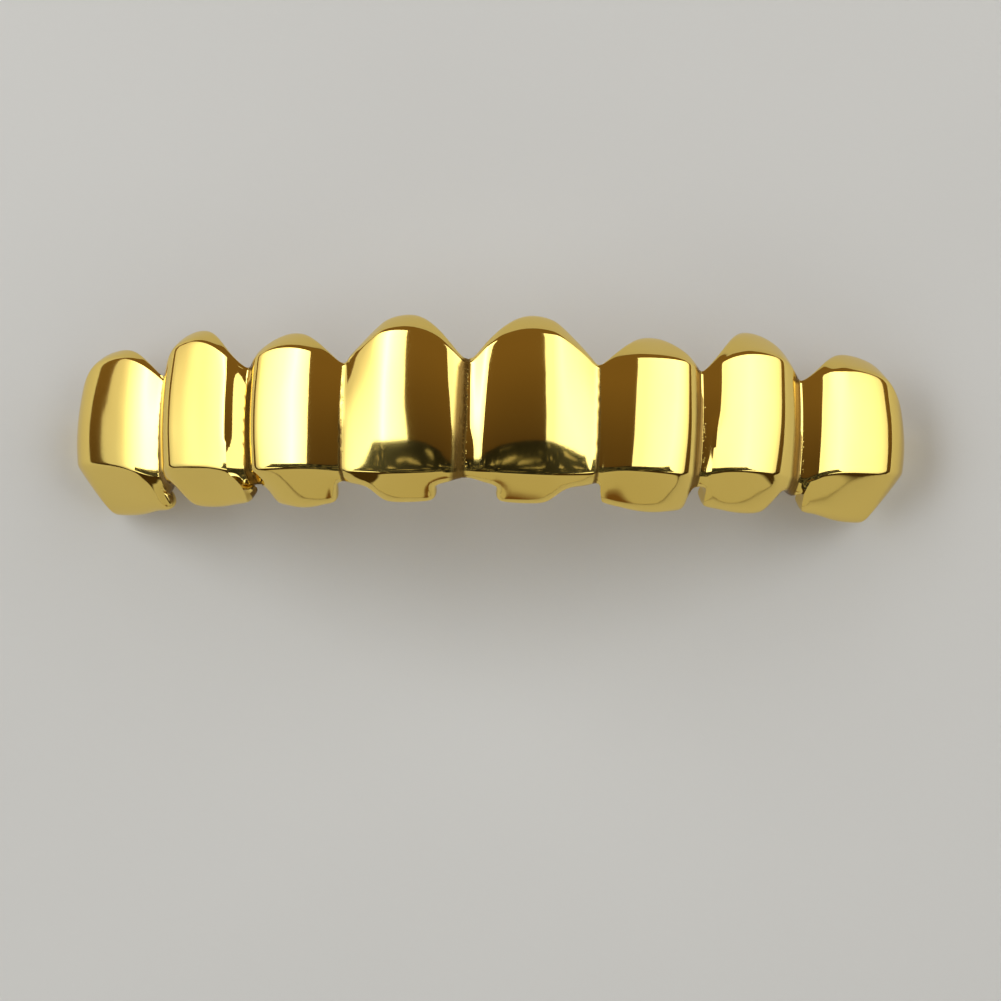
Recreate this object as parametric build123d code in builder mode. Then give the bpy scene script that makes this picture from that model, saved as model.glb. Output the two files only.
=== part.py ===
"""Upper tooth cover: eight joined caps cast as one thin metal shell, worn over the upper front teeth.

It lies on its back, as it is laid down when it is not worn. The polished faces look up (+Z), the gum edges
point to +Y and the biting edges to -Y, and the hollow for the teeth is open underneath. Each cap is one loft
through wall sections that stand square to the dental arch. At its biting edge the wall turns in as a lip that
hooks under the tooth, and notches at the grooves part the lips. Millimetres and degrees.
"""

import os
from collections import namedtuple
from math import cos, radians, sin

from build123d import *

# Thickness of the cast shell, and its rounded edges
wall = 0.8
rim_radius = wall / 2

# Width of each cap along the arch, groove to groove, and of the last one as far as its back corner
central_width = 8.6
lateral_width = 7.0
canine_width = 7.45
premolar_width = 5.75

# How far each cap faces away from straight ahead
central_facing_angle = 12.4
lateral_facing_angle = 20.2
canine_facing_angle = 31.8
premolar_facing_angle = 38.0

# How far the middle of each face stands out from the grooves beside it
central_rise = 1.15
lateral_rise = 0.95
canine_rise = 0.95
premolar_rise = 0.9

# Height of each gum edge above the ends of the lips, in the middle of its cap and at the grooves
central_gum = 12.1
lateral_gum = 11.05
canine_gum = 11.85
premolar_gum = 11.35
groove_gum = 8.5
groove_gum_rise = 0.13

# Height of each biting edge, where the face has turned into the lip, and at the grooves
central_bite = 1.25
lateral_bite = 1.85
canine_bite = 2.45
premolar_bite = 3.05
groove_bite = 1.45
groove_bite_rise = 0.25

# How far each lip reaches back from the crest of its face, and how steeply it falls
lip_reach = 2.25
central_fall_angle = 37.0
lateral_fall_angle = 44.0
canine_fall_angle = 48.0
premolar_fall_angle = 52.0

# Bends of the wall section on the tooth side, and the slope of the face where it leaves them
gum_bend = 1.1
groove_gum_bend = 0.2
bite_bend = 0.3
gum_slope_angle = 74.0
groove_gum_slope_angle = 40.0
face_top_slope_angle = 10.0
face_foot_slope_angle = 8.0

# The back corner of the last cap: its bend, its turn, the heights where its wall ends, and its ground foot
corner_bend = 4.5
corner_turn_angle = 61.7
corner_gum = 6.8
corner_bite = 3.9
corner_reach = 1.4
foot_drop = 0.4

# Notches between the lips: where their webs stand behind the grooves, how far back they run, their height
notch_web = 1.0
notch_reach = 4.5
notch_height = 4.0

Cap = namedtuple("Cap", "width facing rise gum bite fall")
CAPS = (
    Cap(central_width, central_facing_angle, central_rise, central_gum, central_bite, central_fall_angle),
    Cap(lateral_width, lateral_facing_angle, lateral_rise, lateral_gum, lateral_bite, lateral_fall_angle),
    Cap(canine_width, canine_facing_angle, canine_rise, canine_gum, canine_bite, canine_fall_angle),
    Cap(premolar_width, premolar_facing_angle, premolar_rise, premolar_gum, premolar_bite,
        premolar_fall_angle),
)

# Wall sections across a cap between its two grooves. place is a share of its width. The others are shares of
# the way from the groove (0) to the middle of the cap (1): of its rise, its gum and biting edges, its facing.
middle_place = 0.5
Station = namedtuple("Station", "place rise gum bite facing")
JOINED_CAP = (
    Station(place=0.08, rise=0.41, gum=0.30, bite=0.45, facing=0.16),
    Station(place=0.24, rise=0.86, gum=0.73, bite=0.85, facing=0.48),
    Station(place=middle_place, rise=1.00, gum=1.00, bite=1.00, facing=1.00),
    Station(place=0.76, rise=0.86, gum=0.73, bite=0.85, facing=0.48),
    Station(place=0.92, rise=0.41, gum=0.30, bite=0.45, facing=0.16),
)

# The last cap has one groove and a back corner. The corner starts at the cap's full width, and its shares are
# of the way from there (0) to the end of the wall (1): of its turn, its gum and biting edges, its lip's reach.
END_CAP = (
    Station(place=0.11, rise=0.45, gum=0.26, bite=0.40, facing=0.20),
    Station(place=0.34, rise=0.88, gum=0.72, bite=0.80, facing=0.60),
    Station(place=0.68, rise=1.00, gum=1.00, bite=1.00, facing=1.00),
)
Turn = namedtuple("Turn", "turn gum bite reach")
END_CORNER = (
    Turn(turn=0.00, gum=0.06, bite=0.06, reach=0.10),
    Turn(turn=0.33, gum=0.24, bite=0.34, reach=0.45),
    Turn(turn=0.66, gum=0.56, bite=0.70, reach=0.80),
    Turn(turn=1.00, gum=1.00, bite=1.00, reach=1.00),
)

# Each notch, from the middle of the arch outwards: how far it reaches from its groove into the cap before
# it and the cap after it, at the web and at the ends of the lips, as shares of those caps' widths
Notch = namedtuple("Notch", "before_root before_end after_root after_end")
NOTCHES = (
    Notch(before_root=0.22, before_end=0.26, after_root=0.22, after_end=0.26),
    Notch(before_root=0.24, before_end=0.40, after_root=0.04, after_end=0.13),
    Notch(before_root=0.10, before_end=0.16, after_root=0.04, after_end=0.10),
    Notch(before_root=0.17, before_end=0.30, after_root=0.04, after_end=0.20),
)

Section = namedtuple("Section", "x z facing gum curl bite reach fall")


def blend(start, end, share):
    """The value a share of the way from start to end."""
    return start + (end - start) * share


def outwards(facing):
    """The direction in which a wall faces, square to the arch."""
    return Vector(sin(radians(facing)), 0, cos(radians(facing)))


def along(facing):
    """The direction of the arch, away from its middle."""
    return Vector(cos(radians(facing)), 0, -sin(radians(facing)))


def draw_wall(section):
    """Draw the closed wall section: x runs outwards, with 0 at the crest of the face, and y is the height."""
    gum_end_slope = blend(groove_gum_slope_angle, gum_slope_angle, section.curl)
    steep, top, foot = radians(gum_end_slope), radians(face_top_slope_angle), radians(face_foot_slope_angle)
    fall = radians(section.fall)
    height = section.gum - section.bite
    inner_gum_radius = blend(groove_gum_bend, gum_bend, section.curl)
    gum_radius = inner_gum_radius + wall
    bite_radius = bite_bend + wall
    gum_drop = gum_radius * (sin(steep) - sin(top))
    bite_drop = bite_radius * (cos(fall) - sin(foot))
    face_radius = (height - gum_drop - bite_drop) / (sin(top) + sin(foot))
    gum_setback = face_radius * (1 - cos(top)) + gum_radius * (cos(top) - cos(steep))
    bite_setback = face_radius * (1 - cos(foot)) + bite_radius * (cos(foot) - sin(fall))
    lip_length = (section.reach - bite_setback) / cos(fall)
    gum_turn = gum_end_slope - face_top_slope_angle
    face_turn = face_top_slope_angle + face_foot_slope_angle
    bite_turn = 90 - face_foot_slope_angle - section.fall

    gum_arc = JernArc((-gum_setback, section.gum), (sin(steep), -cos(steep)), gum_radius, -gum_turn)
    face_arc = JernArc(gum_arc @ 1, gum_arc % 1, face_radius, -face_turn)
    bite_arc = JernArc(face_arc @ 1, face_arc % 1, bite_radius, -bite_turn)
    lip = Line(bite_arc @ 1, bite_arc @ 1 + bite_arc % 1 * lip_length)
    lip_end = JernArc(lip @ 1, lip % 1, rim_radius, -180)
    inner_lip = Line(lip_end @ 1, lip_end @ 1 + lip_end % 1 * lip_length)
    inner_bite = JernArc(inner_lip @ 1, inner_lip % 1, bite_bend, bite_turn)
    inner_face = JernArc(inner_bite @ 1, inner_bite % 1, face_radius - wall, face_turn)
    inner_gum = JernArc(inner_face @ 1, inner_face % 1, inner_gum_radius, gum_turn)
    JernArc(inner_gum @ 1, inner_gum % 1, rim_radius, -180)


def groove_facing(number):
    """Halfway between the caps beside a groove; groove 0 is the middle of the arch."""
    if number == 0:
        return 0.0
    return (CAPS[number - 1].facing + CAPS[number].facing) / 2


def groove_section(number, foot):
    """The wall section that two neighbouring caps share; foot is its place at the bottom of the groove."""
    before = CAPS[max(number - 1, 0)]
    after = CAPS[number]
    return Section(
        x=foot.X,
        z=foot.Z,
        facing=groove_facing(number),
        gum=groove_gum + groove_gum_rise * number,
        curl=0,
        bite=groove_bite + groove_bite_rise * number,
        reach=lip_reach,
        fall=(before.fall + after.fall) / 2,
    )


def cap_section(cap, start, groove, station):
    """A wall section of a cap that begins at the section start; groove is the groove section nearer to it."""
    foot = Vector(start.x, 0, start.z) + along(cap.facing) * (cap.width * station.place)
    crest = foot + outwards(cap.facing) * (cap.rise * station.rise)
    return Section(
        x=crest.X,
        z=crest.Z,
        facing=blend(groove.facing, cap.facing, station.facing),
        gum=blend(groove.gum, cap.gum, station.gum),
        curl=station.gum,
        bite=blend(groove.bite, cap.bite, station.bite),
        reach=lip_reach,
        fall=blend(groove.fall, cap.fall, station.facing),
    )


def joined_sections(cap, start, end):
    """The wall sections of a cap between the groove sections start and end."""
    face = []
    for station in JOINED_CAP:
        groove = start if station.place < middle_place else end
        face.append(cap_section(cap, start, groove, station))
    return [start, *face, end]


def corner_centre(cap, start):
    """The middle of the bend of the last cap's back corner."""
    return (Vector(start.x, 0, start.z) + along(cap.facing) * cap.width
            + outwards(cap.facing) * (cap.rise - corner_bend))


def corner_section(cap, start, turn):
    """A wall section of the last cap between the start of its back corner and the end of its wall."""
    facing = cap.facing + corner_turn_angle * turn.turn
    crest = corner_centre(cap, start) + outwards(facing) * corner_bend
    return Section(
        x=crest.X,
        z=crest.Z,
        facing=facing,
        gum=blend(cap.gum, corner_gum, turn.gum),
        curl=1 - turn.gum,
        bite=blend(cap.bite, corner_bite, turn.bite),
        reach=blend(lip_reach, corner_reach, turn.reach),
        fall=cap.fall,
    )


def end_sections(cap, start):
    """The wall sections of the last cap, from its groove round its back corner."""
    face = [cap_section(cap, start, start, station) for station in END_CAP]
    corner = [corner_section(cap, start, turn) for turn in END_CORNER]
    return [start, *face, *corner]


def section_plane(section):
    """The plane of a wall section, square to the arch."""
    facing = outwards(section.facing)
    return Plane(origin=(section.x, 0, section.z), x_dir=facing, z_dir=facing.cross(Vector(0, 1, 0)))


grooves = [groove_section(0, Vector(0, 0, 0))]
for number in range(1, len(CAPS)):
    cap = CAPS[number - 1]
    foot = Vector(grooves[-1].x, 0, grooves[-1].z) + along(cap.facing) * cap.width
    grooves.append(groove_section(number, foot))

cap_sections = []
for number in range(len(CAPS) - 1):
    cap_sections.append(joined_sections(CAPS[number], grooves[number], grooves[number + 1]))
cap_sections.append(end_sections(CAPS[-1], grooves[-1]))

with BuildPart() as tooth_cover:
    for sections in cap_sections:
        for section in sections:
            with BuildSketch(section_plane(section)):
                with BuildLine():
                    draw_wall(section)
                make_face()
        loft()

    for groove, notch, before, after in zip(grooves, NOTCHES, CAPS[:1] + CAPS, CAPS):
        foot = Vector(groove.x, 0, groove.z)
        with BuildSketch(Plane(origin=foot, x_dir=along(groove.facing), z_dir=(0, 1, 0))):
            with BuildLine():
                Polyline(
                    (-before.width * notch.before_root, notch_web),
                    (after.width * notch.after_root, notch_web),
                    (after.width * notch.after_end, lip_reach),
                    (after.width * notch.after_end, notch_reach),
                    (-before.width * notch.before_end, notch_reach),
                    (-before.width * notch.before_end, lip_reach),
                    close=True,
                )
            make_face()
        extrude(amount=notch_height, both=True, mode=Mode.SUBTRACT)

    mirror(about=Plane.YZ)
    floor = corner_centre(CAPS[-1], grooves[-1]).Z - foot_drop
    split(bisect_by=Plane.XY.offset(floor), keep=Keep.TOP)

box = tooth_cover.part.bounding_box()
middle = Location((-box.center().X, -box.center().Y, -floor))
tooth_cover.part = tooth_cover.part.moved(middle)
tooth_cover.part.label = "tooth_cover"

os.makedirs("parts", exist_ok=True)
export_step(tooth_cover.part, "parts/tooth_cover.step")
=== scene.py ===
"""Upper tooth cover: mirror-polished gold plate on one thin casting, lying on its back on a pale table."""

from collections import namedtuple
from math import cos, radians, sin, tan
from random import Random

import bpy
from mathutils import Matrix, Vector
from mathutils.kdtree import KDTree


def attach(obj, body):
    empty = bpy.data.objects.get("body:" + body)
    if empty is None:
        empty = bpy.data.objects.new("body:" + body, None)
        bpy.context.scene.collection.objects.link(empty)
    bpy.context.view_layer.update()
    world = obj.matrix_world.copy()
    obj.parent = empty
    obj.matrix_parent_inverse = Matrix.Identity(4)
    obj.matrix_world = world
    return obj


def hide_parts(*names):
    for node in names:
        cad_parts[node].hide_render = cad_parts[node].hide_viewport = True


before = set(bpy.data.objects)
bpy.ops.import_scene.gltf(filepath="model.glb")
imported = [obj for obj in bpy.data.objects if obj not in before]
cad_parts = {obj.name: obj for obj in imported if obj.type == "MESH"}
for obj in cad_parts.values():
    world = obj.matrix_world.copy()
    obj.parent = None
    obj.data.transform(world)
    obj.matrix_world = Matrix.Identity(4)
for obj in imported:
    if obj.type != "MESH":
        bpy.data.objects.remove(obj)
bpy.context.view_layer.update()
bpy.ops.object.select_all(action="DESELECT")

MM = 0.001

# Sizes of the casting, in millimetres and degrees. Rolls and bends are radii, and a slope is how far the
# outside is turned there from facing straight outwards. The rises are what each next groove adds.
face_wall = 0.8
lip_wall = 1.35
gum_roll = 0.9
groove_gum_roll = 0.5
bite_bend = 0.8
groove_band = 0.1
gum_slope = 60
groove_gum_slope = 42
rim_slope = 46
groove_rim_slope = 30
face_top_slope = 10
groove_foot_slope = 9
lip_curl = 3
groove_gum = 8.6
groove_gum_rise = 0.13
groove_bite = 1.45
groove_bite_rise = 0.25
corner_bend = 2.8
corner_gum = 6.8
corner_bite = 3.7
corner_reach = 2.6
end_facing = 99.7
buffing_depth = 0.015
buffing_width = 2.4

# Shares of the lip's reach at a groove and where the corner starts, the most of a lip that its root takes,
# how much further out than the first bend a cap stands at least, and how fast the gum rim fades towards a
# groove
groove_reach_share = 0.9
corner_reach_share = 1.3
root_most = 0.85
bend_step = 0.08
rim_fade = 1.5

# Where the foot of the middle groove stands in the shared frame
groove_foot = Vector((0, -6.0344, 14.9665))

# One row for each cap, from the middle outwards. rise is how far its crest stands out from its grooves,
# near and far are the shares of it that the bends beside them reach, and bend_near and bend_far say where
# those bends are, as shares of its width. gum and bite are the heights of its edges, and tilt is how much
# higher the biting edge stands far from the middle than near it. lean slants the crest, and crest is its
# place, as a share of the width. band is the height of the gum rim, and foot the slope above the biting
# edge. Its lip stands between the stations first and last. It falls so many degrees from straight back,
# reaches back so far and keeps a root of web at the groove before it. The last four say where it begins and
# ends, at its root and at its end.
Cap = namedtuple("Cap", "width facing rise near far bend_near bend_far gum bite tilt lean crest band foot "
                        "lip")
Lip = namedtuple("Lip", "first last fall reach web root_start end_start root_stop end_stop")
RIGHT_CAPS = (
    Cap(8.6, 12.4, 1.15, 0.58, 0.22, 0.125, 0.72, 12.3, 1.25, 0.0, 0.1, 0.50, 1.25, 12,
        Lip(2, 6, 45, 2.29, 0.3, 0.22, 0.22, 0.80, 0.66)),
    Cap(7.08, 22.0, 0.95, 0.36, 0.23, 0.08, 0.82, 11.5, 1.85, 0.0, 1.0, 0.50, 1.60, 6.5,
        Lip(1, 7, 47, 2.50, 0.9, 0.04, 0.11, 0.99, 0.97)),
    Cap(7.35, 31.4, 0.95, 0.66, 0.22, 0.08, 0.78, 12.55, 2.45, 0.2, 0.9, 0.52, 1.75, 6.5,
        Lip(1, 6, 50, 2.40, 0.9, 0.06, 0.10, 0.88, 0.74)),
    Cap(5.92, 35.0, 1.2, 0.60, 0.50, 0.08, 0.78, 11.7, 3.05, 0.3, 0.5, 0.66, 1.30, 6.5,
        Lip(1, 5, 52, 2.15, 1.25, 0.05, 0.14, 1.0, 1.0)),
)
LEFT_CAPS = (
    Cap(8.6, 12.4, 1.15, 0.62, 0.23, 0.122, 0.72, 12.3, 1.25, 0.0, 0.5, 0.49, 1.15, 12,
        Lip(2, 6, 45, 2.29, 0.3, 0.22, 0.24, 0.82, 0.70)),
    Cap(7.2, 20.8, 0.95, 0.45, 0.20, 0.08, 0.84, 11.5, 1.85, 0.2, 0.5, 0.55, 1.10, 6.5,
        Lip(1, 7, 47, 2.50, 0.9, 0.04, 0.11, 0.885, 0.81)),
    Cap(7.38, 31.0, 1.1, 0.90, 0.18, 0.08, 0.78, 12.1, 2.45, 0.5, 0.2, 0.57, 0.75, 6.5,
        Lip(1, 6, 50, 2.45, 1.2, -0.01, 0.01, 0.865, 0.725)),
    Cap(6.1, 36.0, 0.75, 0.33, 0.50, 0.08, 0.78, 11.5, 3.05, 0.8, 0.0, 0.70, 0.50, 6.5,
        Lip(1, 5, 52, 2.25, 1.6, -0.02, 0.04, 1.0, 1.0)),
)

# Stations, the wall sections across a cap: where each stands, as a share of the cap's width, and the shares
# that it has of the cap's own rise, gum, bite, facing and lip
Station = namedtuple("Station", "place rise gum bite facing lip")
JOINED = (
    Station(0.08, 0.41, 0.30, 0.45, 0.16, 0.90),
    Station(0.22, 0.83, 0.70, 0.82, 0.45, 0.96),
    Station(0.36, 0.97, 0.95, 0.97, 0.74, 1.02),
    Station(0.50, 1.01, 1.03, 1.00, 1.00, 1.04),
    Station(0.64, 0.97, 0.95, 0.97, 0.74, 1.02),
    Station(0.78, 0.83, 0.70, 0.82, 0.45, 0.96),
    Station(0.95, 0.22, 0.20, 0.33, 0.10, 0.90),
)
END = (
    Station(0.11, 0.45, 0.28, 0.40, 0.20, 0.95),
    Station(0.28, 0.84, 0.66, 0.75, 0.52, 1.05),
    Station(0.47, 0.98, 0.93, 0.94, 0.80, 1.18),
    Station(0.68, 1.01, 1.03, 1.00, 1.00, 1.27),
)
NEAR_BEND, FAR_BEND, SEAM_BEND = JOINED[0], JOINED[5], JOINED[6]

# The back corner of the last cap, as shares of its turn and of the way to the end of its wall
Turn = namedtuple("Turn", "turn drop gum bite reach")
CORNER = (
    Turn(0.00, 0.0, 0.06, 0.10, 0.05),
    Turn(0.33, 0.0, 0.24, 0.30, 0.20),
    Turn(0.66, 0.0, 0.56, 0.60, 0.50),
    Turn(1.00, 0.0, 0.90, 0.88, 1.00),
    Turn(1.00, 1.3, 1.00, 1.00, 1.00),
)
Section = namedtuple("Section", "cap place lip_share x z facing gum curl bite reach fall web")

# How many steps of a wall section's line lie on its gum rim, gum roll, face, biting edge and lip. FACE_ROW
# is the first row down the face, and WEB_ROW the first row of the lip.
BAND_STEPS, ROLL_STEPS, FACE_STEPS, BITE_STEPS, LIP_STEPS = 2, 3, 4, 3, 3
FACE_ROW = 1 + BAND_STEPS + ROLL_STEPS
WEB_ROW = FACE_ROW + FACE_STEPS + BITE_STEPS
ROWS = WEB_ROW + LIP_STEPS


def blend(start, end, share):
    return start + (end - start) * share


def outwards(facing):
    return Vector((sin(radians(facing)), 0, cos(radians(facing))))


def along(facing):
    return Vector((cos(radians(facing)), 0, -sin(radians(facing))))


def groove_sections(caps):
    """The wall sections in the grooves of one half, from the middle groove outwards."""
    foot = Vector((0, 0, 0))
    found = []
    for number, cap in enumerate(caps):
        before = caps[max(number - 1, 0)]
        facing = 0 if number == 0 else (before.facing + cap.facing) / 2
        found.append(Section(cap, 0, None, foot.x, foot.z, facing, groove_gum + groove_gum_rise * number, 0,
                             groove_bite + groove_bite_rise * number, cap.lip.reach * groove_reach_share,
                             (before.lip.fall + cap.lip.fall) / 2, cap.lip.web))
        foot = foot + along(cap.facing) * cap.width
    return found


def lip_share(stations, station, lip):
    """How far along its cap's lip a station stands, from 0 to 1, or None beside the lip."""
    places = [other.place for other in stations] + [1.0]
    first, last = places[lip.first - 1], places[lip.last - 1]
    if first <= station.place <= last:
        return (station.place - first) / (last - first)


def cap_section(cap, start, groove, stations, station, place):
    foot = Vector((start.x, 0, start.z)) + along(cap.facing) * (cap.width * place)
    rise = max(station.rise, cap.near + bend_step)
    if station.place == stations[0].place:
        rise = cap.near
    elif station.place == SEAM_BEND.place:
        rise = cap.far
    crest = foot + outwards(cap.facing) * (cap.rise * rise)
    bite = blend(groove.bite, cap.bite, station.bite) + cap.tilt * (place - 0.5)
    return Section(cap, place, lip_share(stations, station, cap.lip), crest.x, crest.z,
                   blend(groove.facing, cap.facing, station.facing), blend(groove.gum, cap.gum, station.gum),
                   station.gum ** rim_fade, bite, cap.lip.reach * station.lip,
                   blend(groove.fall, cap.lip.fall, station.facing), 1.0)


def gum_share(place):
    """How much of its own gum height a cap has at a place, between its stations."""
    for before, after in zip(JOINED, JOINED[1:]):
        if before.place <= place <= after.place:
            return blend(before.gum, after.gum, (place - before.place) / (after.place - before.place))


def corner_sections(cap, start):
    """The wall sections round the back corner of the last cap."""
    centre = (Vector((start.x, 0, start.z)) + along(cap.facing) * cap.width
              + outwards(cap.facing) * (cap.rise - corner_bend))
    found = []
    for turn in CORNER:
        facing = blend(cap.facing, end_facing, turn.turn)
        crest = centre + outwards(facing) * corner_bend + along(facing) * turn.drop
        found.append(Section(cap, 1, None, crest.x, crest.z, facing, blend(cap.gum, corner_gum, turn.gum),
                             1 - turn.gum, blend(cap.bite + cap.tilt / 2, corner_bite, turn.bite),
                             blend(cap.lip.reach * corner_reach_share, corner_reach, turn.reach),
                             cap.lip.fall, 1.0))
    return found


def half_sections(caps):
    """The middle groove's section, and those of one half from beside it to the end of its wall."""
    grooves = groove_sections(caps)
    found = []
    for number, cap in enumerate(caps[:-1]):
        start, end = grooves[number], grooves[number + 1]
        bends = {NEAR_BEND: cap.bend_near, FAR_BEND: cap.bend_far}
        for station in JOINED:
            share = bends.get(station, station.place)
            place = share + (cap.crest - 0.5) * 4 * share * (1 - share)
            groove = start if station.place < 0.5 else end
            station = station._replace(gum=gum_share(share))
            found.append(cap_section(cap, start, groove, JOINED, station, place))
        found.append(end)
    cap, start = caps[-1], grooves[-1]
    for station in END:
        place = station.place * cap.crest / END[-1].place
        found.append(cap_section(cap, start, start, END, station, place))
    return grooves[0], found + corner_sections(cap, start)


def wall_line(section):
    """The outer line of a wall section, as outward and upward distances from its crest."""
    steep = radians(blend(groove_gum_slope, gum_slope, section.curl))
    rim = radians(blend(groove_rim_slope, rim_slope, section.curl))
    top = radians(face_top_slope)
    foot = radians(blend(groove_foot_slope, section.cap.foot, min(section.curl, 1)))
    fall, curl = radians(section.fall), radians(lip_curl)
    bite = fall + curl - radians(90)
    roll_radius = blend(groove_gum_roll, gum_roll, section.curl)
    band_radius = blend(groove_band, section.cap.band, section.curl) / (sin(steep) - sin(rim))
    gum_drop = band_radius * (sin(steep) - sin(rim)) + roll_radius * (sin(rim) - sin(top))
    bite_drop = bite_bend * (cos(fall + curl) - sin(foot))
    face_radius = (section.gum - section.bite - gum_drop - bite_drop) / (sin(top) + sin(foot))
    gum_setback = (face_radius * (1 - cos(top)) + roll_radius * (cos(top) - cos(rim))
                   + band_radius * (cos(rim) - cos(steep)))
    bite_setback = face_radius * (1 - cos(foot)) + bite_bend * (cos(foot) - sin(fall + curl))
    lip_length = (section.reach - bite_setback) / cos(fall)

    line = [Vector((-gum_setback, section.gum))]
    slope = steep
    for end, radius, steps in ((rim, band_radius, BAND_STEPS), (top, roll_radius, ROLL_STEPS),
                               (-foot, face_radius, FACE_STEPS), (bite, bite_bend, BITE_STEPS)):
        turn = slope - end
        for step in range(steps):
            after = slope - turn / steps
            line.append(line[-1] + radius * Vector((cos(after) - cos(slope), sin(after) - sin(slope))))
            slope = after
    root = min(section.web, lip_length * root_most)
    half = (lip_length - root) / 2
    for distance, slope in ((root, fall + curl), (half, fall), (half, fall - curl)):
        line.append(line[-1] + distance * Vector((-cos(slope), -sin(slope))))
    return line


def lip_slide(section, row):
    """How far a row of the lip is moved along the arch at this section, so that the lip's ends slant."""
    if section.lip_share is None:
        return 0.0
    lip = section.cap.lip
    down = (row - WEB_ROW) / (ROWS - 1 - WEB_ROW)
    start = blend(lip.root_start, lip.end_start, down)
    stop = blend(lip.root_stop, lip.end_stop, down)
    return (blend(start, stop, section.lip_share) - section.place) * section.cap.width


def place_line(section, side):
    """The points of a wall section in the shared frame, in metres. side is 1 on the right, -1 on the left."""
    line = []
    middling = 4 * section.place * (1 - section.place)
    for row, point in enumerate(wall_line(section)):
        if row >= WEB_ROW:
            slide = lip_slide(section, row)
        else:
            height = max(0.0, (point.y - section.bite) / (section.gum - section.bite))
            slide = section.cap.lean * middling * (height - 0.5)
        place = (Vector((section.x, 0, section.z)) + outwards(section.facing) * point.x
                 + along(section.cap.facing) * slide)
        line.append((Vector((side * place.x, point.y, place.z)) + groove_foot) * MM)
    return line


middle, right = half_sections(RIGHT_CAPS)
left = half_sections(LEFT_CAPS)[1]
lines = [place_line(section, -1) for section in reversed(left)]
lines.append(place_line(middle, 1))
lines += [place_line(section, 1) for section in right]


def column_of(side, cap, station):
    """The line of a cap's station, counted from 1, or of the groove before the cap, which is station 0."""
    return len(left) + side * (cap * (len(JOINED) + 1) + station)


# The outside of the casting: a chain of points down each wall section, bridged from one to the next
bpy.ops.mesh.primitive_plane_add(size=MM, location=(0, 0, 0))
cover = bpy.context.object
cover.name = "polished_cover"
bpy.ops.object.mode_set(mode="EDIT")
bpy.ops.mesh.delete(type="VERT")
for line in lines:
    bpy.ops.mesh.primitive_plane_add(size=MM, location=line[0])
    bpy.ops.mesh.merge(type="CENTER")
    for before, after in zip(line, line[1:]):
        bpy.ops.mesh.extrude_region_move(TRANSFORM_OT_translate={"value": after - before})
bpy.ops.object.mode_set(mode="OBJECT")


def start_selection(kind):
    """Deselect all of the cover in edit mode and go back to object mode, where elements are then marked."""
    bpy.ops.object.mode_set(mode="EDIT")
    bpy.ops.mesh.select_mode(type=kind)
    bpy.ops.mesh.select_all(action="DESELECT")
    bpy.ops.object.mode_set(mode="OBJECT")


for column in range(len(lines) - 1):
    start_selection("VERT")
    for vertex in cover.data.vertices:
        vertex.select = vertex.index // ROWS in (column, column + 1)
    bpy.ops.object.mode_set(mode="EDIT")
    bpy.ops.mesh.bridge_edge_loops()
bpy.ops.object.mode_set(mode="OBJECT")

# Notches between the lips, from where one lip ends to where the next begins
notches = [(column_of(-1, 0, LEFT_CAPS[0].lip.first), column_of(1, 0, RIGHT_CAPS[0].lip.first))]
for side, caps in ((1, RIGHT_CAPS), (-1, LEFT_CAPS)):
    for number in range(len(caps) - 1):
        notches.append(sorted((column_of(side, number, caps[number].lip.last),
                               column_of(side, number + 1, caps[number + 1].lip.first))))
start_selection("FACE")
for face in cover.data.polygons:
    columns = [vertex // ROWS for vertex in face.vertices]
    row = min(vertex % ROWS for vertex in face.vertices)
    between = any(start <= min(columns) and max(columns) <= stop for start, stop in notches)
    face.select = between and row >= WEB_ROW
bpy.ops.object.mode_set(mode="EDIT")
bpy.ops.mesh.delete(type="FACE")
bpy.ops.object.mode_set(mode="OBJECT")


def crease(column, sharp, first, last):
    """Crease the edges whose vertices are numbered like these rows of a column on the uncut cover."""
    numbers = range(column * ROWS + first, column * ROWS + last + 1)
    start_selection("EDGE")
    for edge in cover.data.edges:
        edge.select = all(vertex in numbers for vertex in edge.vertices)
    bpy.ops.object.mode_set(mode="EDIT")
    bpy.ops.transform.edge_crease(value=sharp)
    bpy.ops.object.mode_set(mode="OBJECT")


# Creases for the grooves, and for tighter bends beside some of them. One row for each bend: the side, the cap
# and its station, how sharp, and from which row to which.
# The rows count the vertices as they were numbered before the notches were cut, and each notch took some out
# of that count. So past the leftmost groove, towards +X, a run lies further down its section than its rows
# say, and from beside the middle groove on it lies mostly on the next sections. The look was matched with
# the creases there, so they stay.
groove_sharp = 0.9
Bend = namedtuple("Bend", "side cap station sharp first last")
BENDS = (
    Bend(-1, 2, 1, 0.35, 1, 4), Bend(-1, 2, 1, 0.9, 4, 8), Bend(-1, 2, 1, 1.0, 8, 12),
    Bend(1, 3, 1, 0.35, 1, 8), Bend(1, 3, 1, 0.9, 8, 12),
    Bend(1, 2, 1, 0.35, 1, 12), Bend(1, 0, 1, 0.35, 1, 12), Bend(-1, 0, 1, 0.35, 1, 12),
)
for column in sorted({column_of(side, cap, 0) for side in (1, -1) for cap in range(len(RIGHT_CAPS))}):
    crease(column, groove_sharp, 1, WEB_ROW - 1)
for bend in BENDS:
    crease(column_of(bend.side, bend.cap, bend.station), bend.sharp, bend.first, bend.last)

# The outside is turned outwards before the wall gets its thickness
bpy.ops.object.mode_set(mode="EDIT")
bpy.ops.mesh.select_mode(type="VERT")
bpy.ops.mesh.select_all(action="SELECT")
bpy.ops.mesh.normals_make_consistent(inside=False)
bpy.ops.object.mode_set(mode="OBJECT")
highest = max(cover.data.polygons, key=lambda face: face.center.z)
if highest.normal.z < 0:
    bpy.ops.object.mode_set(mode="EDIT")
    bpy.ops.mesh.flip_normals()
    bpy.ops.object.mode_set(mode="OBJECT")

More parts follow.
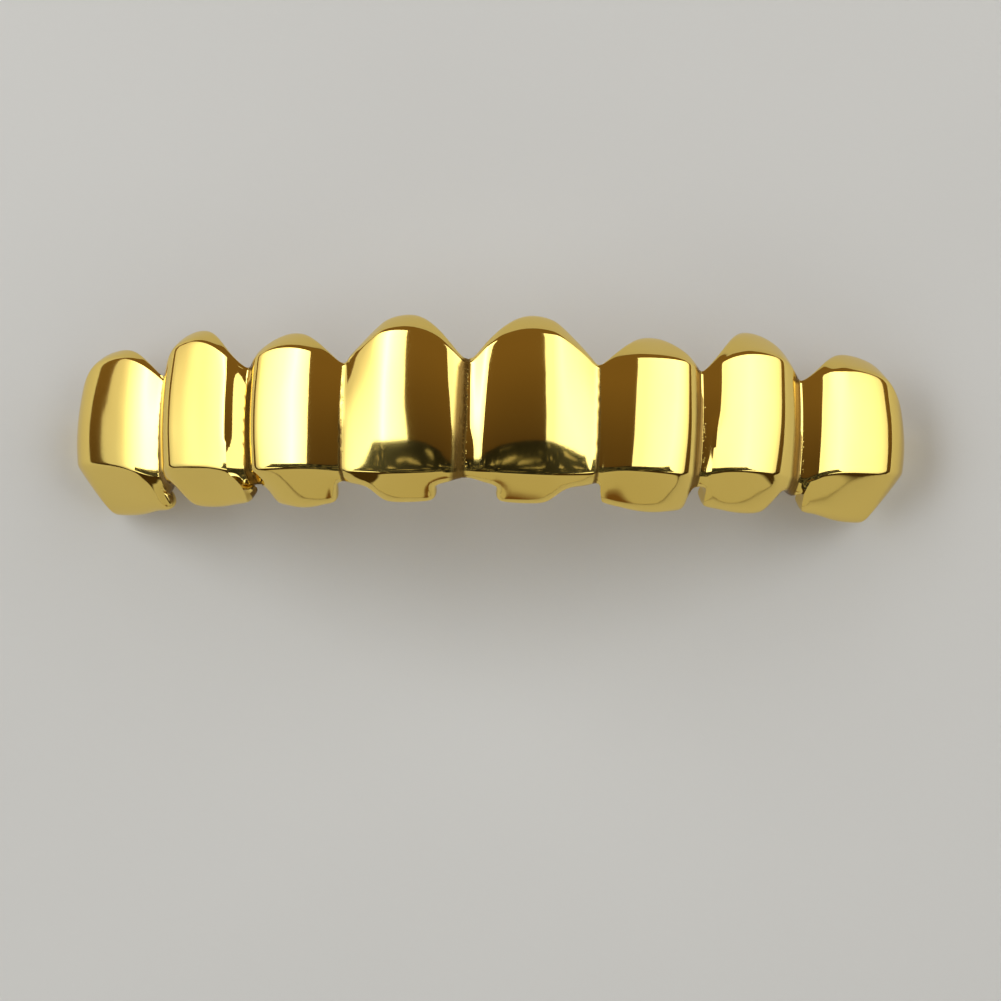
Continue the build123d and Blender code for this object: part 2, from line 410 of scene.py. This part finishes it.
# The wall: thick at the lips, thinner behind the faces, and rounded all over. The first slot is the polished
# outside and the second the inside as it was cast. A vertex has the row of the line point that it stands on.
rows = KDTree(len(lines) * ROWS)
for line in lines:
    for row, point in enumerate(line):
        rows.insert(point, row)
rows.balance()
lips = cover.vertex_groups.new(name="lips")
for vertex in cover.data.vertices:
    row = rows.find(vertex.co)[1]
    if row >= WEB_ROW:
        lips.add([vertex.index], 1.0, "REPLACE")
    elif row == WEB_ROW - 1:
        lips.add([vertex.index], 0.5, "REPLACE")
for _ in range(2):
    bpy.ops.object.material_slot_add()
wall = cover.modifiers.new("casting wall", "SOLIDIFY")
wall.thickness = lip_wall * MM
wall.offset = -1
wall.use_even_offset = True
wall.use_quality_normals = True
wall.vertex_group = lips.name
wall.thickness_vertex_group = face_wall / lip_wall
wall.material_offset = 1
rounding = cover.modifiers.new("rounding", "SUBSURF")
rounding.levels = rounding.render_levels = 2
buffing = bpy.data.textures.new("buffing", "CLOUDS")
buffing.noise_scale = buffing_width * MM
waves = cover.modifiers.new("buffing waves", "DISPLACE")
waves.texture = buffing
waves.strength = buffing_depth * MM
waves.mid_level = 0.5
for modifier in [wall.name, rounding.name, waves.name]:
    bpy.ops.object.modifier_apply(modifier=modifier)

# The back ends are ground flat where they meet the table
bpy.ops.object.mode_set(mode="EDIT")
bpy.ops.mesh.select_all(action="SELECT")
bpy.ops.mesh.bisect(plane_co=(0, 0, 0), plane_no=(0, 0, 1), use_fill=True, clear_inner=True,
                    clear_outer=False, threshold=1e-7)
bpy.ops.object.mode_set(mode="OBJECT")

# Beads of metal left beside the grooves by the casting. Each row is a strip along a groove: how far from it
# the strip runs at its top and foot, towards +X, from which height to which, how wide it is at its top and
# foot, how many beads it has, and the smallest and the largest radius. bead_sunk is the share of its radius
# by which the middle of a bead lies under the skin.
bead_sunk = 0.35
Strip = namedtuple("Strip", "side groove x_top x_foot top foot wide_top wide_foot beads small large")
STRIPS = (
    Strip(1, 0, -0.10, -0.42, 1.9, -4.6, 0.14, 0.62, 190, 0.035, 0.075),
    Strip(1, 0, -0.12, -0.10, 2.3, 1.2, 0.25, 0.14, 30, 0.07, 0.13),
    Strip(1, 0, 0.02, 0.02, 1.8, -4.4, 0.10, 0.12, 40, 0.03, 0.06),
    Strip(1, 2, 0.12, 0.16, 0.6, -3.6, 0.16, 0.22, 26, 0.03, 0.07),
    Strip(1, 3, 0.10, 0.14, 0.4, -3.0, 0.14, 0.20, 22, 0.03, 0.07),
    Strip(-1, 1, 0.05, 0.12, 1.2, -3.4, 0.12, 0.16, 24, 0.03, 0.06),
)
draw = Random(11)
above_cover = 40 * MM
smooth_under = 32
beads = []
for strip in STRIPS:
    seam_x = lines[column_of(strip.side, strip.groove, 0)][FACE_ROW].x
    for _ in range(strip.beads):
        share = draw.random()
        aside = (draw.random() - 0.5) * blend(strip.wide_top, strip.wide_foot, share)
        x = seam_x + (blend(strip.x_top, strip.x_foot, share) + aside) * MM
        y = blend(strip.top, strip.foot, share) * MM
        radius = blend(strip.small, strip.large, draw.random() ** 2) * MM
        hit, place, normal, _face = cover.ray_cast(Vector((x, y, above_cover)), Vector((0, 0, -1)))
        if hit:
            beads.append((place - normal * radius * bead_sunk, radius))
bpy.ops.object.select_all(action="DESELECT")
bpy.ops.mesh.primitive_ico_sphere_add(subdivisions=1, radius=beads[0][1], location=beads[0][0])
bpy.ops.object.transform_apply()
bpy.ops.object.mode_set(mode="EDIT")
for place, radius in beads[1:]:
    bpy.ops.mesh.primitive_ico_sphere_add(subdivisions=1, radius=radius, location=place)
bpy.ops.object.mode_set(mode="OBJECT")
cover.select_set(True)
bpy.context.view_layer.objects.active = cover
bpy.ops.object.join()
bpy.ops.object.shade_smooth_by_angle(angle=radians(smooth_under))
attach(cover, "root")
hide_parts("tooth_cover")

# Painted shade in and beside the grooves, which stands also for polishing compound left where the wheel
# doesn't reach:
# how strongly each point of the casting gets it, 1 on the darkest line, in the groove or beside it, and 0
# from so many millimetres on. Each row is a groove, how far from it the darkest line lies at its top and
# foot, towards +X, and how far the shade reaches from that line at its top and foot. On the groove's other
# side the shade fades out over past_groove.
# Each stretch of the groove is measured at seam_steps points.
past_groove = 0.25
seam_steps = 6
GrooveShadeAndResidue = namedtuple("GrooveShadeAndResidue", "side groove shift_top shift_foot reach_top reach_foot")
GROOVE_SHADE_AND_RESIDUE_LINES = (
    GrooveShadeAndResidue(-1, 0, -0.24, -0.42, 0.62, 1.15), GrooveShadeAndResidue(1, 0, 0.0, 0.0, 0.22, 0.22), GrooveShadeAndResidue(1, 1, 0.0, 0.0, 0.3, 0.3),
    GrooveShadeAndResidue(1, 2, -0.28, -0.28, 0.8, 0.8), GrooveShadeAndResidue(1, 3, -0.35, -0.35, 1.0, 1.0),
    GrooveShadeAndResidue(-1, 1, 0.0, 0.0, 0.3, 0.3), GrooveShadeAndResidue(-1, 2, 0.40, 0.40, 1.1, 1.1), GrooveShadeAndResidue(-1, 3, 0.35, 0.35, 1.0, 1.0),
)
groove_shade_and_residue = [0.0] * len(cover.data.vertices)
for shade_and_residue_line in GROOVE_SHADE_AND_RESIDUE_LINES:
    line = lines[column_of(shade_and_residue_line.side, shade_and_residue_line.groove, 0)][1:WEB_ROW + 1]
    points = [before.lerp(after, step / seam_steps)
              for before, after in zip(line, line[1:]) for step in range(seam_steps)]
    seam = KDTree(len(points))
    for number, point in enumerate(points):
        seam.insert(point, number)
    seam.balance()
    for vertex in cover.data.vertices:
        place, number, distance = seam.find(vertex.co)
        share = number / len(points)
        shift = blend(shade_and_residue_line.shift_top, shade_and_residue_line.shift_foot, share)
        reach = blend(shade_and_residue_line.reach_top, shade_and_residue_line.reach_foot, share)
        if shift * (vertex.co.x - place.x) >= 0:
            shade_and_residue_here = 1 - abs(distance / MM - abs(shift)) / reach
        else:
            shade_and_residue_here = 1 - abs(shift) / reach - distance / MM / past_groove
        groove_shade_and_residue[vertex.index] = max(groove_shade_and_residue[vertex.index], shade_and_residue_here)
# The groove attribute carries this painted shade, with the compound it stands for, to the gold's material.
cover.data.attributes.new("groove", "FLOAT", "POINT").data.foreach_set("value", groove_shade_and_residue)


def linear(hex_colour):
    """An sRGB hex value as a linear colour."""
    channels = [int(hex_colour[i:i + 2], 16) / 255 for i in (0, 2, 4)]
    return tuple(c / 12.92 if c <= 0.04045 else ((c + 0.055) / 1.055) ** 2.4 for c in channels) + (1.0,)


def node(tree, kind, inputs=None, **settings):
    """Add one node to a node tree, with its settings, values and links."""
    made = tree.nodes.new(kind)
    for name, value in settings.items():
        setattr(made, name, value)
    for name, value in (inputs or {}).items():
        if isinstance(value, bpy.types.NodeSocket):
            tree.links.new(value, made.inputs[name])
        else:
            made.inputs[name].default_value = value
    return made


def per_mm(size):
    """Noise scale for features of this many millimetres, in Object coordinates."""
    return 1000 / size


def new_material(name):
    """A material, its node tree, its shader and the Object coordinates that its patterns read."""
    made = bpy.data.materials.new(name)
    made.use_nodes = True
    tree = made.node_tree
    coords = node(tree, "ShaderNodeTexCoord")
    return made, tree, tree.nodes["Principled BSDF"], coords.outputs["Object"]


# The inputs and the output of a Mix node that mixes colours, which share their names with those for numbers
MIX_FACTOR, MIX_FIRST, MIX_SECOND, MIX_RESULT = 0, 6, 7, 2


def mirror_gold_plate():
    """Yellow gold plate, buffed to a mirror: deep sharp reflections, a faint orange peel that frays their
    edges, and painted shade in and beside the grooves, where the metal is rougher, browner and less metallic,
    standing also for polishing compound left where the wheel doesn't reach."""
    made, tree, shader, place = new_material("mirror_gold_plate")
    # groove reads the painted groove shade from the cover's attribute.
    groove = node(tree, "ShaderNodeAttribute", attribute_name="groove").outputs["Fac"]
    cloud = node(tree, "ShaderNodeTexNoise",
                 {"Vector": place, "Scale": per_mm(5.0), "Detail": 3.0}).outputs["Fac"]
    peel = node(tree, "ShaderNodeTexNoise",
                {"Vector": place, "Scale": per_mm(0.45), "Detail": 4.0}).outputs["Fac"]
    plate = node(tree, "ShaderNodeMix", {MIX_FACTOR: cloud, MIX_FIRST: linear("EFCF6D"),
                                         MIX_SECOND: linear("F2D474")}, data_type="RGBA")
    # Painted shade in and beside the grooves, with the compound it stands for: brown 7E6026 and less metal
    # there.
    shade_and_residue = node(tree, "ShaderNodeMapRange", {"Value": groove, "From Min": 0.35, "From Max": 0.65})
    colour = node(tree, "ShaderNodeMix", {MIX_FACTOR: shade_and_residue.outputs["Result"],
                                          MIX_FIRST: plate.outputs[MIX_RESULT],
                                          MIX_SECOND: linear("7E6026")}, data_type="RGBA")
    metal = node(tree, "ShaderNodeMapRange", {"Value": shade_and_residue.outputs["Result"], "To Min": 1.0, "To Max": 0.8})
    buffed = node(tree, "ShaderNodeMapRange", {"Value": cloud, "To Min": 0.035, "To Max": 0.085})
    dull = node(tree, "ShaderNodeMapRange", {"Value": groove, "From Min": 0.3, "To Min": 0.0, "To Max": 0.30})
    rough = node(tree, "ShaderNodeMath", {0: buffed.outputs["Result"], 1: dull.outputs["Result"]},
                 operation="ADD")
    depth = node(tree, "ShaderNodeMapRange", {"Value": groove, "From Min": 0.3, "To Min": 0.0006 * MM,
                                              "To Max": 0.016 * MM})
    bump = node(tree, "ShaderNodeBump", {"Height": peel, "Distance": depth.outputs["Result"]})
    tree.links.new(colour.outputs[MIX_RESULT], shader.inputs["Base Color"])
    tree.links.new(metal.outputs["Result"], shader.inputs["Metallic"])
    tree.links.new(rough.outputs["Value"], shader.inputs["Roughness"])
    tree.links.new(bump.outputs["Normal"], shader.inputs["Normal"])
    return made


def cast_gold_plate():
    """The same plate over the metal as it was cast: satin, finely pebbled by the mould, a little duller."""
    made, tree, shader, place = new_material("cast_gold_plate")
    pebbles = node(tree, "ShaderNodeTexNoise",
                   {"Vector": place, "Scale": per_mm(0.22), "Detail": 3.0}).outputs["Fac"]
    patch = node(tree, "ShaderNodeTexNoise",
                 {"Vector": place, "Scale": per_mm(2.5), "Detail": 2.0}).outputs["Fac"]
    plate = node(tree, "ShaderNodeMix", {MIX_FACTOR: patch, MIX_FIRST: linear("D9B552"),
                                         MIX_SECOND: linear("E9CB6C")}, data_type="RGBA")
    rough = node(tree, "ShaderNodeMapRange", {"Value": patch, "To Min": 0.30, "To Max": 0.46})
    bump = node(tree, "ShaderNodeBump", {"Height": pebbles, "Distance": 0.018 * MM})
    shader.inputs["Metallic"].default_value = 1.0
    tree.links.new(plate.outputs[MIX_RESULT], shader.inputs["Base Color"])
    tree.links.new(rough.outputs["Result"], shader.inputs["Roughness"])
    tree.links.new(bump.outputs["Normal"], shader.inputs["Normal"])
    return made


def pale_laminate():
    """Matt white-grey laminate: even, with faint cloudiness and a fine tooth."""
    made, tree, shader, place = new_material("pale_laminate")
    cloud = node(tree, "ShaderNodeTexNoise",
                 {"Vector": place, "Scale": per_mm(45), "Detail": 3.0}).outputs["Fac"]
    tooth = node(tree, "ShaderNodeTexNoise",
                 {"Vector": place, "Scale": per_mm(0.6), "Detail": 2.0}).outputs["Fac"]
    colour = node(tree, "ShaderNodeMix", {MIX_FACTOR: cloud, MIX_FIRST: linear("CBC7BD"),
                                          MIX_SECOND: linear("D2CEC4")}, data_type="RGBA")
    rough = node(tree, "ShaderNodeMapRange", {"Value": cloud, "To Min": 0.55, "To Max": 0.70})
    bump = node(tree, "ShaderNodeBump", {"Height": tooth, "Distance": 0.01 * MM})
    tree.links.new(colour.outputs[MIX_RESULT], shader.inputs["Base Color"])
    tree.links.new(rough.outputs["Result"], shader.inputs["Roughness"])
    tree.links.new(bump.outputs["Normal"], shader.inputs["Normal"])
    return made


def dark_sheet_with_painted_glints():
    """A dark matt sheet that swallows the light, but for a few long narrow streaks that glow by emission:
    painted glints, though the sheet is no lamp.
    """
    glint_length, glint_width = 55.56, 8.333
    glint_turn = 6
    made, tree, shader, place = new_material("dark_sheet_with_painted_glints")
    stretch = node(tree, "ShaderNodeMapping",
                   {"Vector": place, "Scale": (per_mm(glint_length), per_mm(glint_width), per_mm(glint_width)),
                    "Rotation": (0, 0, radians(glint_turn))})
    glint_streaks = node(tree, "ShaderNodeTexNoise",
                 {"Vector": stretch.outputs["Vector"], "Scale": 1.0, "Detail": 2.0}).outputs["Fac"]
    # Painted glints: the streaks glow through Emission Strength, though the sheet is no lamp.
    painted_glints = node(tree, "ShaderNodeMapRange", {"Value": glint_streaks, "From Min": 0.60, "From Max": 0.66, "To Min": 0.0,
                                            "To Max": 0.75})
    shader.inputs["Base Color"].default_value = linear("14150F")
    shader.inputs["Roughness"].default_value = 0.8
    shader.inputs["Emission Color"].default_value = linear("D8D2C0")
    tree.links.new(painted_glints.outputs["Result"], shader.inputs["Emission Strength"])
    return made


cover.material_slots[0].material = mirror_gold_plate()
cover.material_slots[1].material = cast_gold_plate()

# The pale table that the cover lies on, in metres
table_size = 4.0
bpy.ops.object.select_all(action="DESELECT")
bpy.ops.mesh.primitive_plane_add(size=table_size)
table = bpy.context.object
table.name = "table"
table.data.materials.append(pale_laminate())

# A dark sheet under the camera, in metres and degrees, which the faces mirror above their biting edges. The
# camera and shadows pass it by, and its material paints glowing glints into that reflection.
cloth_width, cloth_depth, cloth_tilt = 0.85, 0.173, 34
cloth_middle = (-0.025, -0.0948, 0.2271)
bpy.ops.object.select_all(action="DESELECT")
bpy.ops.mesh.primitive_plane_add(size=1.0, location=cloth_middle, rotation=(radians(cloth_tilt), 0, 0))
cloth = bpy.context.object
cloth.name = "reflected_dark_sheet"
cloth.scale = (cloth_width, cloth_depth, 1)
bpy.ops.object.transform_apply(location=True, rotation=True, scale=True)
cloth.visible_camera = False
cloth.visible_shadow = False
cloth.data.materials.append(dark_sheet_with_painted_glints())

# The room that the gold mirrors: dim and warm overhead, brown in front of the table, with a pale wall low
# down. Each row is a height from -1, straight in front, to 1, straight behind, and the light that comes from
# there.
ROOM = (
    (-0.99, (0.16, 0.085, 0.03)), (-0.975, (0.50, 0.48, 0.40)), (-0.72, (0.53, 0.52, 0.47)),
    (-0.68, (0.055, 0.034, 0.014)), (-0.12, (0.055, 0.034, 0.014)), (-0.07, (0.090, 0.056, 0.026)),
    (0.0, (0.108, 0.067, 0.029)), (0.42, (0.205, 0.125, 0.047)), (1.0, (0.21, 0.13, 0.052)),
)


def set_stops(ramp, rows):
    """Give a colour ramp one stop for each row, a place from 0 to 1 and a colour."""
    stops = ramp.color_ramp.elements
    while len(stops) < len(rows):
        stops.new(0.5)
    for stop, (place, colour) in zip(stops, rows):
        stop.position = place
        stop.color = (*colour, 1)


world = bpy.data.worlds.new("studio")
bpy.context.scene.world = world
world.use_nodes = True
tree = world.node_tree
tree.nodes.clear()
coords = node(tree, "ShaderNodeTexCoord")
split = node(tree, "ShaderNodeSeparateXYZ", {"Vector": coords.outputs["Generated"]})
height = node(tree, "ShaderNodeMapRange", {"Value": split.outputs["Y"], "From Min": -1.0, "From Max": 1.0})
ramp = node(tree, "ShaderNodeValToRGB", {"Fac": height.outputs["Result"]})
set_stops(ramp, [((y + 1) / 2, colour) for y, colour in ROOM])
back = node(tree, "ShaderNodeBackground", {"Color": ramp.outputs["Color"], "Strength": 1.0})
node(tree, "ShaderNodeOutputWorld", {"Surface": back.outputs["Background"]})

# The two soft boxes, in metres, degrees and watts. They are alike in length and stand equally far from the
# cover, lifted a little towards its gum edges. How bright each is across its width comes as places from 0 to
# 1, from -X to +X, and shares.
daylight = (0.92, 1.0, 1.12, 1.0)
box_distance = 0.60
box_length = 0.82
box_lift = 0.085
LEFT_GLOW = ((0.0, 0.145), (0.083, 0.16), (0.162, 0.22), (0.271, 0.36), (0.413, 0.50), (0.575, 0.68),
             (0.715, 1.0), (0.831, 0.72), (1.0, 0.46))
RIGHT_GLOW = ((0.0, 0.59), (0.175, 0.62), (0.347, 0.83), (0.509, 1.0), (0.662, 0.83), (0.812, 0.60),
              (0.953, 0.40), (1.0, 0.34))


def softbox(name, angle, width, power, glow):
    """A large rectangular soft box beside the camera, so many degrees from overhead, towards +X."""
    light = bpy.data.lights.new(name, "AREA")
    light.shape = "RECTANGLE"
    light.size = width
    light.size_y = box_length
    light.energy = power
    light.use_nodes = True
    tree = light.node_tree
    tree.nodes.clear()
    place = node(tree, "ShaderNodeNewGeometry")
    across = node(tree, "ShaderNodeSeparateXYZ", {"Vector": place.outputs["Parametric"]})
    ramp = node(tree, "ShaderNodeValToRGB", {"Fac": across.outputs["X"]})
    set_stops(ramp, [(share, (value, value, value)) for share, value in glow])
    shine = node(tree, "ShaderNodeEmission", {"Color": daylight, "Strength": ramp.outputs["Color"]})
    node(tree, "ShaderNodeOutputLight", {"Surface": shine.outputs["Emission"]})
    box = bpy.data.objects.new(name, light)
    bpy.context.scene.collection.objects.link(box)
    box.location = outwards(angle) * box_distance + Vector((0, box_lift, 0))
    box.rotation_euler = (0, radians(angle), 0)
    box.visible_camera = False


softbox("left_softbox", angle=-55.9, width=0.614, power=7.6, glow=LEFT_GLOW)
softbox("right_softbox", angle=53.75, width=0.631, power=4.68, glow=RIGHT_GLOW)

# Camera, in degrees and millimetres: a little to the right of the cover and towards its biting edges, on a
# long lens, aimed beside and below the middle of the lips by so many pixels
camera_right = 6.3
camera_below = 9.0
camera_roll = 1.55
camera_distance = 300
focal_pixels = 4680
picture_pixels = 1001
aim_right_pixels = 36.4
aim_down_pixels = 8.8
sensor_width = 36
lip_middle = Vector((0, -5.832, 14.963)) * MM

towards_camera = Vector((tan(radians(camera_right)), -tan(radians(camera_below)), 1)).normalized()
level_right = (-towards_camera).cross(Vector((0, 1, 0))).normalized()
level_up = level_right.cross(-towards_camera).normalized()
roll = radians(camera_roll)
image_right = level_right * cos(roll) + level_up * sin(roll)
image_up = level_up * cos(roll) - level_right * sin(roll)
pixel = camera_distance * MM / focal_pixels
aim = lip_middle + image_right * (aim_right_pixels * pixel) - image_up * (aim_down_pixels * pixel)
eye = lip_middle + towards_camera * camera_distance * MM
backwards = (eye - aim).normalized()
rightwards = image_up.cross(backwards).normalized()
upwards = backwards.cross(rightwards)

lens = bpy.data.cameras.new("camera")
lens.sensor_width = sensor_width
lens.lens = sensor_width * focal_pixels / picture_pixels
lens.clip_start = 0.01
camera = bpy.data.objects.new("camera", lens)
bpy.context.scene.collection.objects.link(camera)
axes = Matrix((rightwards, upwards, backwards)).transposed().to_4x4()
camera.matrix_world = Matrix.Translation(eye) @ axes
bpy.context.scene.camera = camera
bpy.context.scene.view_settings.view_transform = "Standard"
